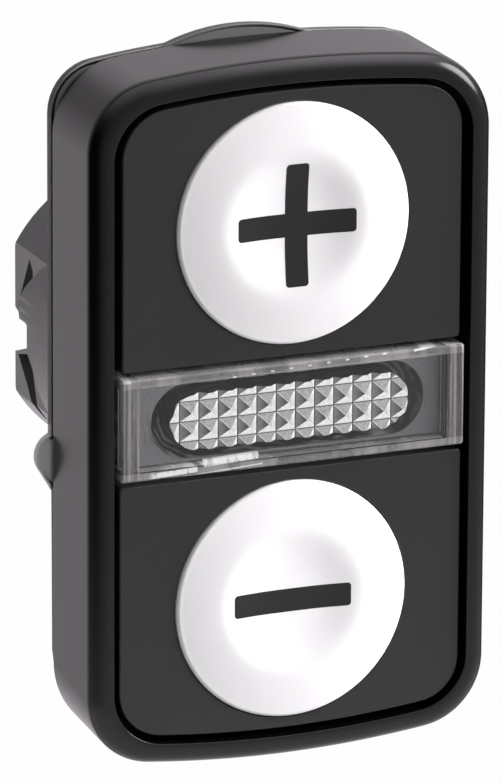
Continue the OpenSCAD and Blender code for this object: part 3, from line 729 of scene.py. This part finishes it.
def make_frame():
    """Sweeps the section round the frame, between the outlines of rear edge, wall and opening."""
    steps = {"corner_steps": 22, "arch_steps": 40}
    wall_corners = (TOP_RIGHT_R, CORNER_R, CORNER_R, CORNER_R)
    rear_corners = (TOP_RIGHT_R, CORNER_R, LOW_CORNER_R, LOW_CORNER_R)
    wall = arched_outline(HALF_W, HALF_H, ARCH_R, wall_corners, **steps)
    rear = arched_outline(HALF_W, HALF_H, ARCH_R, rear_corners, **steps)
    opening = arched_outline(OPENING_HALF_W, OPENING_HALF_H, ARCH_R - RING_BAR,
                             (OPENING_CORNER_R,) * 4, **steps)
    profile = frame_profile()
    path = line_mesh("frame_path", wall, wall=wall, rear=rear, opening=opening)
    section = line_mesh("frame_section", [(-inset, y) for inset, y, lean in profile], spot=profile)
    m = Maker("swept_frame", Section=section, Wall=FRAME_PLASTIC, Ring=RING_PLASTIC,
              Groove=RING_FRONT + GROOVE_BACK, Ring_width=RING_BAR)

    def on_points(label):
        return m.node("GeometryNodeInputNamedAttribute", {"data_type": "FLOAT_VECTOR"}, label)

    def vector(operation, *values, **named):
        return m.node("ShaderNodeVectorMath", {"operation": operation}, *values, **named)

    road = m.node("GeometryNodeMeshToCurve", None, m.given())
    road = m.node("GeometryNodeSetCurveNormal", {"mode": "Z_UP"}, road)
    cut = m.node("GeometryNodeObjectInfo", None, m.given("Section"), out="Geometry")
    cut = m.node("GeometryNodeMeshToCurve", None, cut)
    body = m.node("GeometryNodeCurveToMesh", None, road, cut)
    inset, back, lean = m.parts(on_points("spot"))
    inwards = vector("SUBTRACT", on_points("opening"), on_points("wall"))
    inwards = vector("SCALE", inwards, Scale=inset / m.given("Ring_width"))
    rearwards = vector("SUBTRACT", on_points("rear"), on_points("wall"))
    rearwards = vector("SCALE", rearwards, Scale=lean)
    flat = vector("ADD", on_points("wall"), vector("ADD", inwards, rearwards))
    lift = m.node("ShaderNodeCombineXYZ", None, 0.0, 0.0, -back)
    body = m.node("GeometryNodeSetPosition", None, body, Position=vector("ADD", flat, lift))
    body = m.node("GeometryNodeTransform", None, body, Rotation=(math.pi / 2, 0.0, 0.0))
    body = m.coated(body, "Wall")
    depth = m.parts(m.node("GeometryNodeInputPosition"))[1]
    front = m.node("FunctionNodeCompare", {"operation": "LESS_THAN"}, depth, m.given("Groove"))
    body = m.node("GeometryNodeSetMaterial", None, body, front, m.given("Ring"))
    mesh = m.mesh(body, path, section)
    clean(mesh, SWEEP_WELD)
    settle(mesh, "front_frame", FRAME_PLASTIC, "housing", "bezel")


def cap_outline(sign, side_gap, inset):
    """A cap's edge: arched at the far end, square beside the lens, with small rounded corners."""
    half_w = OPENING_HALF_W - side_gap - inset
    near = LENS_H / 2 + LENS_GAP + inset
    corner_x, corner_z = half_w - CAP_NEAR_R, near + CAP_NEAR_R
    corner_r = OPENING_CORNER_R - CAP_GAP - inset
    full = arched_outline(half_w, OPENING_HALF_H - CAP_GAP - inset, ARCH_R - RING_BAR - CAP_GAP - inset,
                          (corner_r - TOP_RIGHT_TIGHTER, corner_r, corner_r, corner_r))
    far = full[:len(full) // 2]
    side_top = far[-1][1]
    left = between((-half_w, side_top), (-half_w, corner_z), 9)
    left += arc_points(-corner_x, corner_z, CAP_NEAR_R, 180, 270, 4)
    bottom = between((-corner_x, near), (corner_x, near), 12)
    right = arc_points(corner_x, corner_z, CAP_NEAR_R, 270, 360, 4)
    right += between((half_w, corner_z), (half_w, side_top), 9)
    ring = far + left + bottom + right
    return ring if sign > 0 else [(x, -z) for x, z in ring[::-1]]


def circle_like(outline, z, radius):
    """Points on a circle at the same bearings from its centre as an outline's points."""
    bearings = [math.atan2(pz - z, px) for px, pz in outline]
    return [(radius * math.cos(b), z + radius * math.sin(b)) for b in bearings]


def make_cap(name, sign, side_gap, body, node):
    """A cap from the lip of its disc's seat out over its front and down its skirt, and up inside."""
    z = sign * DISC_Z
    edge = cap_outline(sign, side_gap, 0)
    seat = DISC_R + SEAT_GAP
    rings = [at(circle_like(edge, z, seat), CAP_FRONT + DISC_SEAT)]
    for s, c in quarter_turn(3):
        lip = circle_like(edge, z, seat + SEAT_LIP * (1 - c))
        rings.append(at(lip, CAP_FRONT + SEAT_LIP * (1 - s)))
    for s, c in quarter_turn(6):
        rim = cap_outline(sign, side_gap, CAP_ROUND * (1 - s))
        rings.append(at(rim, CAP_FRONT + CAP_ROUND * (1 - c)))
    inside = cap_outline(sign, side_gap, SKIRT_WALL)
    rings += [at(edge, SKIRT_REAR), at(inside, SKIRT_REAR), at(inside, CAP_FRONT + CAP_T)]
    piece(name, loft(rings), CAP_PLASTIC, body, node)


def face_height(r):
    """Height of a disc's face over its cap: a shallow dish, a raised ring and a falling edge."""
    if r < RAISED_R:
        return DISC_PROUD - DISH_DEPTH * (1 + math.cos(math.pi * (r / RAISED_R) ** 1.7)) / 2
    return DISC_PROUD - EDGE_FALL * ((r - RAISED_R) / (DISC_R - RAISED_R)) ** 1.3


def make_disc(name, z, material, body, node):
    """A disc turned round its axis: dished face, rounded shoulder, side and small rear chamfer."""
    land, steps = DISC_R - DISC_ROUND, 36
    rise = face_height(land)
    profile = [(land * k / steps, CAP_FRONT - face_height(land * k / steps)) for k in range(1, steps + 1)]
    profile += [(land + DISC_ROUND * s, CAP_FRONT - rise * c) for s, c in quarter_turn(6)[1:]]
    rear = CAP_FRONT + DISC_SEAT
    profile += [(DISC_R, rear - DISC_CHAMFER), (DISC_R - DISC_CHAMFER, rear)]
    angles = [math.tau * i / DISC_SEGMENTS for i in range(DISC_SEGMENTS)]
    rings = [at([(r * math.cos(a), z + r * math.sin(a)) for a in angles], y) for r, y in profile]
    piece(name, loft(rings), material, body, node)


def make_mark(name, z, upright, shift, body, node):
    """A flush inlay that follows the dish, as one bar or two crossed ones."""
    half_l, half_w = MARK_LEN / 2, MARK_W / 2
    steps = 8
    cell = MARK_W / steps
    round_from = half_l - MARK_ROUND
    ends = [half_l - MARK_ROUND * (1 - s) for s, c in quarter_turn(5)]
    inner = [half_w + cell * k for k in range(int((round_from - half_w) / cell) + 1)]
    middle = [-half_w + cell * k for k in range(steps)]
    right = [x for x in inner if x < ends[0] - 0.3 * cell] + ends
    left = [-x for x in right[::-1]]
    bm = bmesh.new()

    def strip(places, swap):
        rows = []
        for u in places:
            over = abs(u) - round_from
            h = half_w
            if over > 0:
                h -= MARK_ROUND - math.sqrt(max(MARK_ROUND ** 2 - over ** 2, 0))
            row = []
            for k in range(steps + 1):
                v = -h + 2 * h * k / steps
                x, w = (v, u) if swap else (u, v)
                x, w = x + shift[0], w + shift[1]
                y = CAP_FRONT - face_height(math.hypot(x, w)) - MARK_PROUD
                row.append(bm.verts.new((x, y, z + w)))
            rows.append(row)
        for near, far in zip(rows, rows[1:]):
            for k in range(steps):
                bm.faces.new((near[k], near[k + 1], far[k + 1], far[k]))

    strip(left + middle[1:] + right, False)
    if upright:
        strip(left, True)
        strip(right, True)
    bmesh.ops.remove_doubles(bm, verts=bm.verts, dist=MARK_WELD)
    rim = [e for e in bm.edges if e.is_boundary]
    made = bmesh.ops.extrude_edge_only(bm, edges=rim)["geom"]
    for v in (g for g in made if isinstance(g, bmesh.types.BMVert)):
        v.co.y = CAP_FRONT - face_height(0) + MARK_DEPTH
    bmesh.ops.holes_fill(bm, edges=[e for e in bm.edges if e.is_boundary])
    bmesh.ops.recalc_face_normals(bm, faces=bm.faces)
    piece(name, bm, MARK_PLASTIC, body, node)


def rounded_box_ring(half_w, half_h, corner, steps=6):
    """Outline of a rectangle with rounded corners."""
    quarter = arc_points(half_w - corner, half_h - corner, corner, 0, 90, steps)
    upper = quarter + [(-x, z) for x, z in quarter[::-1]]
    return upper + [(-x, -z) for x, z in upper]


def make_lens():
    """A clear box, open at the rear, whose end walls grow thicker in steps towards its front."""
    half_w, half_h = LENS_W / 2, LENS_H / 2
    rings = []
    for s, c in quarter_turn(5):
        inset = LENS_EDGE * (1 - s)
        ring = rounded_box_ring(half_w - inset, half_h - inset, LENS_EDGE)
        rings.append(at(ring, LENS_FRONT + LENS_EDGE * (1 - c)))
    rings.append(at(rounded_box_ring(half_w, half_h, LENS_EDGE), LENS_REAR))
    inside = LENS_FRONT + LENS_FRONT_T
    reach = LENS_REAR - inside
    # End wall in millimetres, and the shares of the depth between which it holds
    for wall, start, stop in ((0.45, 1.0, 0.72), (0.74, 0.72, 0.42), (1.02, 0.42, 0.16), (1.3, 0.16, 0.0)):
        ring = rounded_box_ring(half_w - wall * MM, half_h - LENS_LONG_WALL, LENS_INNER_R)
        rings += [at(ring, inside + reach * start), at(ring, inside + reach * stop)]
    piece("lens_cover_clear", loft(rings), CLEAR_LENS, "housing", "lens_cover", sharp=40)


def stadium_radius(half_w, half_h, bearing):
    """Distance from the middle of a shape with round ends to its edge."""
    c, s = abs(math.cos(bearing)), abs(math.sin(bearing))
    straight = half_w - half_h
    if s > 1e-9 and half_h * c / s <= straight:
        return half_h / s
    return straight * c + math.sqrt(max(half_h ** 2 - (straight * s) ** 2, 0))


def make_reflector():
    """A block with a funnel-shaped bowl that narrows to the seat of the diffuser."""
    half_w, half_h = reflector_high.x, reflector_high.z
    front, rear = reflector_low.y, reflector_high.y
    seat_w, seat_h = prism_high.x + PRISM_GAP, prism_high.z + PRISM_GAP
    bowl_w, bowl_h = half_w - BOWL_END_RIM, half_h - BOWL_SIDE_RIM
    box = rounded_box_ring(half_w, half_h, REFLECTOR_R, 5)
    longest = 0.35 * MM
    dense = []
    for (x0, z0), (x1, z1) in zip(box, box[1:] + box[:1]):
        cuts = max(1, round(math.hypot(x1 - x0, z1 - z0) / longest))
        dense += [(x0 + (x1 - x0) * k / cuts, z0 + (z1 - z0) * k / cuts) for k in range(cuts)]
    bearings = [math.atan2(z, x) for x, z in dense]

    def bowl(w, h):
        radii = [stadium_radius(w, h, b) for b in bearings]
        return [(r * math.cos(b), r * math.sin(b)) for r, b in zip(radii, bearings)]

    inner = [(x * (1 - REFLECTOR_LIP / half_w), z * (1 - REFLECTOR_LIP / half_h)) for x, z in dense]
    rings = [at(bowl(seat_w, seat_h), rear), at(dense, rear), at(dense, front + REFLECTOR_LIP),
             at(inner, front)]
    for s, c in quarter_turn(8):
        w, h = bowl_w + (seat_w - bowl_w) * (1 - c), bowl_h + (seat_h - bowl_h) * (1 - c)
        rings.append(at(bowl(w, h), front + BOWL_DEPTH * s))
    piece("reflector_bowl", loft(rings, loop=True), REFLECTOR_PLASTIC, "housing",
          "reflector")


def make_prisms():
    """Clear block with round ends, cut across its front by two sets of V grooves."""
    m = Maker("pyramid_field", Width=prism_high.x * 2, Height=prism_high.z * 2,
              Depth=prism_high.y - prism_low.y, Rear=prism_high.y, Pitch=PRISM_PITCH,
              Rise=PRISM_RISE, Shift=PRISM_SHIFT, Clear=PAINTED_GLOW_PRISM)
    sheet = m.node("GeometryNodeCurvePrimitiveQuadrilateral", None, m.given("Width"), m.given("Height"))
    sheet = m.node("GeometryNodeFilletCurve", {"mode": "POLY"}, sheet, Count=14,
                   Radius=m.given("Height") * 0.499)
    sheet = m.node("GeometryNodeFillCurve", {"mode": "NGONS"}, sheet)
    lift = m.node("ShaderNodeCombineXYZ", None, 0.0, 0.0, -m.given("Rear"))
    sheet = m.node("GeometryNodeTransform", None, sheet, Translation=lift)
    block = m.node("GeometryNodeExtrudeMesh", {"mode": "FACES"}, sheet, Offset_Scale=m.given("Depth"),
                   Individual=False)
    back = m.node("GeometryNodeFlipFaces", None, sheet)
    block = m.node("GeometryNodeMergeByDistance", None, m.joined(block, back), Distance=SWEEP_WELD)

    # A three-sided bar of radius 1 is 1.5 high and 2 sin 60 wide. The cutters are twice a groove's size
    spare = 2.0
    deep = m.given("Rise") * spare / 1.5
    wide = m.given("Pitch") * (spare / 2 / math.sin(math.pi / 3))
    tooth = m.node("GeometryNodeMeshCylinder", {"fill_type": "NGON"}, Vertices=3, Radius=1.0,
                   Depth=m.given("Width") * 1.5)
    tooth = m.node("GeometryNodeTransform", None, tooth,
                   Scale=m.node("ShaderNodeCombineXYZ", None, deep, wide, 1.0))
    tooth = m.node("GeometryNodeTransform", None, tooth, Rotation=(0.0, math.pi / 2, 0.0))
    level = m.given("Depth") - m.given("Rear") - m.given("Rise") + deep
    cutters = []
    for turned, reach in ((False, 3), (True, 8)):
        start = m.given("Pitch") * float(-reach)
        start = start + m.given("Shift") if turned else start
        way = (m.given("Pitch"), 0.0, 0.0) if turned else (0.0, m.given("Pitch"), 0.0)
        first = (start, 0.0, level) if turned else (0.0, start, level)
        line = m.node("GeometryNodeMeshLine", None, Count=2 * reach + 1,
                      Start_Location=m.node("ShaderNodeCombineXYZ", None, *first),
                      Offset=m.node("ShaderNodeCombineXYZ", None, *way))
        teeth = m.node("GeometryNodeInstanceOnPoints", None, line, Instance=tooth,
                       Rotation=(0.0, 0.0, math.pi / 2 if turned else 0.0))
        cutters.append(m.node("GeometryNodeRealizeInstances", None, teeth))
    field = m.node("GeometryNodeMeshBoolean", {"operation": "DIFFERENCE", "solver": "EXACT"},
                   Mesh_1=block, Mesh_2=m.joined(*cutters), Self_Intersection=True)
    field = m.node("GeometryNodeTransform", None, field, Rotation=(math.pi / 2, 0.0, 0.0))
    mesh = m.mesh_alone(m.coated(field, "Clear"))
    settle(mesh, "pyramid_diffuser", PAINTED_GLOW_PRISM, "housing", "prism_diffuser", sharp=20)


def make_spring(name, z, node, joint):
    """A coil of round wire with closed ends. Its button's travel is read, but nothing presses the coil
    together.
    """
    low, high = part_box(node)
    rise = high.y - low.y - WIRE_D
    end_turn = WIRE_D * 1.05
    m = Maker(name + "_coil", Radius=(high.x - low.x - WIRE_D) / 2, Wire=WIRE_D / 2,
              Turns=float(SPRING_TURNS), End_turn=end_turn,
              Open_turn=(rise - 2 * end_turn) / (SPRING_TURNS - 2), Steel=SPRING_STEEL)
    coil = m.node("GeometryNodeCurveSpiral", None, Resolution=40, Rotations=m.given("Turns"),
                  Start_Radius=m.given("Radius"), End_Radius=m.given("Radius"), Height=MM)
    turn = m.node("GeometryNodeSplineParameter") * m.given("Turns")
    spread = m.given("Turns") - 2.0
    ends = turn.least(1.0) + (turn - 1.0 - spread).most(0.0)
    height = ends * m.given("End_turn") + (turn - 1.0).most(0.0).least(spread) * m.given("Open_turn")
    x, y, _ = m.parts(m.node("GeometryNodeInputPosition"))
    put = m.node("ShaderNodeCombineXYZ", None, x, y, -height)
    coil = m.node("GeometryNodeSetPosition", None, coil, Position=put)
    wire = m.node("GeometryNodeCurvePrimitiveCircle", None, Resolution=12, Radius=m.given("Wire"))
    coil = m.node("GeometryNodeCurveToMesh", None, coil, wire, Fill_Caps=True)
    coil = m.node("GeometryNodeTransform", None, coil, Rotation=(math.pi / 2, 0.0, 0.0),
                  Translation=(0.0, low.y + WIRE_D / 2, z))
    mesh = m.mesh_alone(m.coated(coil, "Steel"))
    clean(mesh)
    made = settle(mesh, name, SPRING_STEEL, "housing", node, sharp=60)
    made.modifiers.clear()
    travel = next(j["range_m"][1] for j in frame["joints"] if j["name"] == joint)
    length = high.y - low.y
    (length - travel) / length
    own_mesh(made)


def dress(node, name, material, body, edge=EDGE_ROUND, finish=None):
    """A copy of a solid with merged points, joined flat faces and softly rounded edges."""
    bm = bmesh.new()
    bm.from_mesh(frame["nodes"][node].data)
    bmesh.ops.remove_doubles(bm, verts=bm.verts, dist=SOLID_WELD)
    bmesh.ops.dissolve_limit(bm, angle_limit=math.radians(0.6), verts=bm.verts, edges=bm.edges)
    corners = [e for e in bm.edges
               if len(e.link_faces) == 2 and e.calc_face_angle(0) > math.radians(SHARP)]
    bmesh.ops.bevel(bm, geom=corners, offset=edge, offset_type="OFFSET", segments=2, profile=0.5,
                    affect="EDGES", clamp_overlap=True)
    if finish:
        finish(bm)
    piece(name, bm, material, body, node)


def score(bm, level, lowest):
    """Fine groove along the edge of the flat front faces that lie at a level, above a height."""
    near = 0.03 * MM
    front = [f for f in bm.faces
             if f.normal.y < -0.99 and abs(f.calc_center_median().y - level) < near
             and max(v.co.z for v in f.verts) > lowest]
    for depth in (0.0, -SCORE_DEPTH, SCORE_DEPTH):
        bmesh.ops.inset_region(bm, faces=front, thickness=SCORE_W, depth=depth, use_even_offset=True)


def cut_corners(bm):
    """Cuts two corners of a plate behind the frame back: top right and lower left."""
    for way, r in ((1, TOP_RIGHT_R), (-1, LOW_LEFT_R)):
        cx, cz = corner_centre(HALF_W, HALF_H, ARCH_R, r)
        for v in bm.verts:
            dx, dz = v.co.x * way - cx, v.co.z * way - cz
            reach = math.hypot(dx, dz)
            if dx > 0 and dz > 0 and reach > r:
                v.co.x, v.co.z = (cx + dx * r / reach) * way, (cz + dz * r / reach) * way


def draw_in(bm):
    """Draws a plate's left edge in a little where the lower corner begins."""
    bmesh.ops.bisect_plane(bm, geom=bm.verts[:] + bm.edges[:] + bm.faces[:], dist=SWEEP_WELD,
                           plane_co=(0.0, 0.0, DRAWN_Z + DRAWN_REACH), plane_no=(0.0, 0.0, 1.0))
    margin = 2.0 * MM
    for v in bm.verts:
        if v.co.x < -HALF_W + margin:
            v.co.x += DRAWN_IN * max(0.0, 1.0 - abs(v.co.z - DRAWN_Z) / DRAWN_REACH)


def finish_gasket(bm):
    """Corners, and a groove along the front face but not round its ear."""
    cut_corners(bm)
    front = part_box("panel_gasket")[0].y
    score(bm, front, -1.0)
    for v in bm.verts:
        if v.co.x < -HALF_W - EAR_ROOT and 0.2 * MM < v.co.y - front < 0.5 * MM:
            v.co.y = front
    draw_in(bm)


def finish_body(bm):
    """Corners, and a groove along the front of the flange's lug."""
    cut_corners(bm)
    level = min(f.calc_center_median().y for f in bm.faces if f.calc_center_median().z > HALF_H)
    score(bm, level, HALF_H)
    draw_in(bm)


make_frame()
make_cap("upper_cap_shell", 1, UPPER_SIDE_GAP, "upper_button", "upper_cap")
make_cap("lower_cap_shell", -1, SIDE_GAP, "lower_button", "lower_cap")
make_disc("upper_disc_white", DISC_Z, UPPER_DISC_PAINTED_SHADE, "upper_button", "upper_disc")
make_disc("lower_disc_white", -DISC_Z, LOWER_DISC_PAINTED_LIGHT, "lower_button", "lower_disc")
make_mark("plus_inlay", DISC_Z, True, PLUS_SHIFT, "upper_button", "upper_plus_mark")
make_mark("minus_inlay", -DISC_Z, False, MINUS_SHIFT, "lower_button", "lower_minus_mark")
make_lens()
make_reflector()
make_prisms()
make_spring("upper_return_spring", STEM_Z, "upper_spring", "upper_press")
make_spring("lower_return_spring", -STEM_Z, "lower_spring", "lower_press")
dress("body", "barrel_and_flange", BODY_PLASTIC, "housing", finish=finish_body)
dress("panel_gasket", "gasket", GASKET_RUBBER, "housing", finish=finish_gasket)
for side in ("upper", "lower"):
    mover = side + "_button"
    dress(side + "_plunger", side + "_plunger_moulding", PLUNGER_PLASTIC, mover)
    dress(side + "_foot", side + "_foot_moulding", PLUNGER_PLASTIC, mover, FOOT_ROUND)
    dress(side + "_stem_seal", side + "_seal_ring", SEAL_RUBBER, "housing")
dress("lens_seal", "lens_gasket", SEAL_RUBBER, "housing", SEAL_ROUND)
dress("light_guide", "light_rod", CLEAR_ROD, "housing")

# Studio: even light for matt surfaces, a room for glossy ones, two lamps and a floor
AMBIENT = 0.30
TINT = (1.0, 0.94, 1.0)
FLOOR_Z = -45 * MM
FLOOR_HALF = 6.0


def room(f, way):
    """What a glossy surface sees in a direction: pale backdrop and floor, dark left, lit ceiling."""
    across, back, up = f.parts(way)
    level = (across * 0.27 + 0.36) * (1 - (-across).ramp(0.45, 0.90) * 0.9)
    level = level * (1 - across.ramp(0.6, 1.0) * 0.3)
    level = level + (0.9 - level) * (-up).ramp(0.20, 0.70)
    level = level + (across.ramp(0.2, 0.45) * 2.6 + 1.4 - level) * up.most(0.0) ** 3.0
    wall = 0.78 + across.ramp(-0.36, 0.15) * 0.12 - across.ramp(0.1, 0.5) * 0.22
    wall = wall * (1 - (-across).ramp(-0.05, 0.25) * up.ramp(-0.1, 0.25) * 0.42)
    level = level + (wall - level) * back.ramp(0.35, 0.80)
    edge = across.ramp(0.38, 0.62) * back.ramp(-0.2, 0.45) * up.ramp(-0.05, 0.15, 1.0, 0.0)
    return level * (1 - edge * 0.9)


def make_world():
    """White for the camera, the room for glossy and clear surfaces, even light for all others."""
    world = bpy.data.worlds.new("studio")
    bpy.context.scene.world = world
    f = Finish(world)
    seen, shiny = f.is_ray("Camera"), f.is_ray("Glossy", "Transmission")
    level = shiny * (room(f, f.node("ShaderNodeTexCoord", None)) - AMBIENT) + AMBIENT
    level = seen * (1 - level) + level
    f.surface(f.node("ShaderNodeBackground", None, f.blend(shiny, WHITE, TINT), level))


def lamp(name, way, distance, size, watts, shiny):
    """Round soft lamp in a direction from the part, for glossy surfaces only or for matt ones."""
    data = bpy.data.lights.new(name, "AREA")
    data.shape, data.size, data.energy = "DISK", size, watts
    made = bpy.data.objects.new(name, data)
    bpy.context.scene.collection.objects.link(made)
    way = Vector(way).normalized()
    made.location = way * distance
    made.rotation_euler = way.to_track_quat("Z", "Y").to_euler()
    made.visible_glossy, made.visible_diffuse = shiny, not shiny


def make_floor():
    """White floor below the part, which glossy and clear surfaces see as a part of the room."""
    bm = bmesh.new()
    bmesh.ops.create_grid(bm, x_segments=8, y_segments=8, size=FLOOR_HALF)
    for v in bm.verts:
        v.co.z = FLOOR_Z
    mesh = bpy.data.meshes.new("floor")
    bm.to_mesh(mesh)
    bm.free()
    floor = bpy.data.objects.new("floor", mesh)
    bpy.context.scene.collection.objects.link(floor)
    f = Finish(bpy.data.materials.new("pale_floor"))
    from_part = f.node("ShaderNodeVectorMath", {"operation": "NORMALIZE"},
                       f.node("ShaderNodeTexCoord", None, out="Object"))
    seen, shiny = f.is_ray("Camera"), f.is_ray("Glossy", "Transmission")
    matt = f.node("ShaderNodeBsdfDiffuse", None, (0.4, 0.4, 0.4, 1.0))
    level = shiny * (room(f, from_part) - 1) + 1
    glow = f.node("ShaderNodeEmission", None, f.blend(shiny, WHITE, TINT), level)
    f.surface(f.node("ShaderNodeMixShader", None, (seen * 0.98).most(shiny), matt, glow))
    mesh.materials.append(f.owner)


make_world()
lamp("key", (0.92, -0.27, 0.28), 0.7, 0.35, 13.2, shiny=False)
lamp("rim", (0.86, -0.31, 0.42), 0.6, 0.36, 3.0, shiny=True)
make_floor()
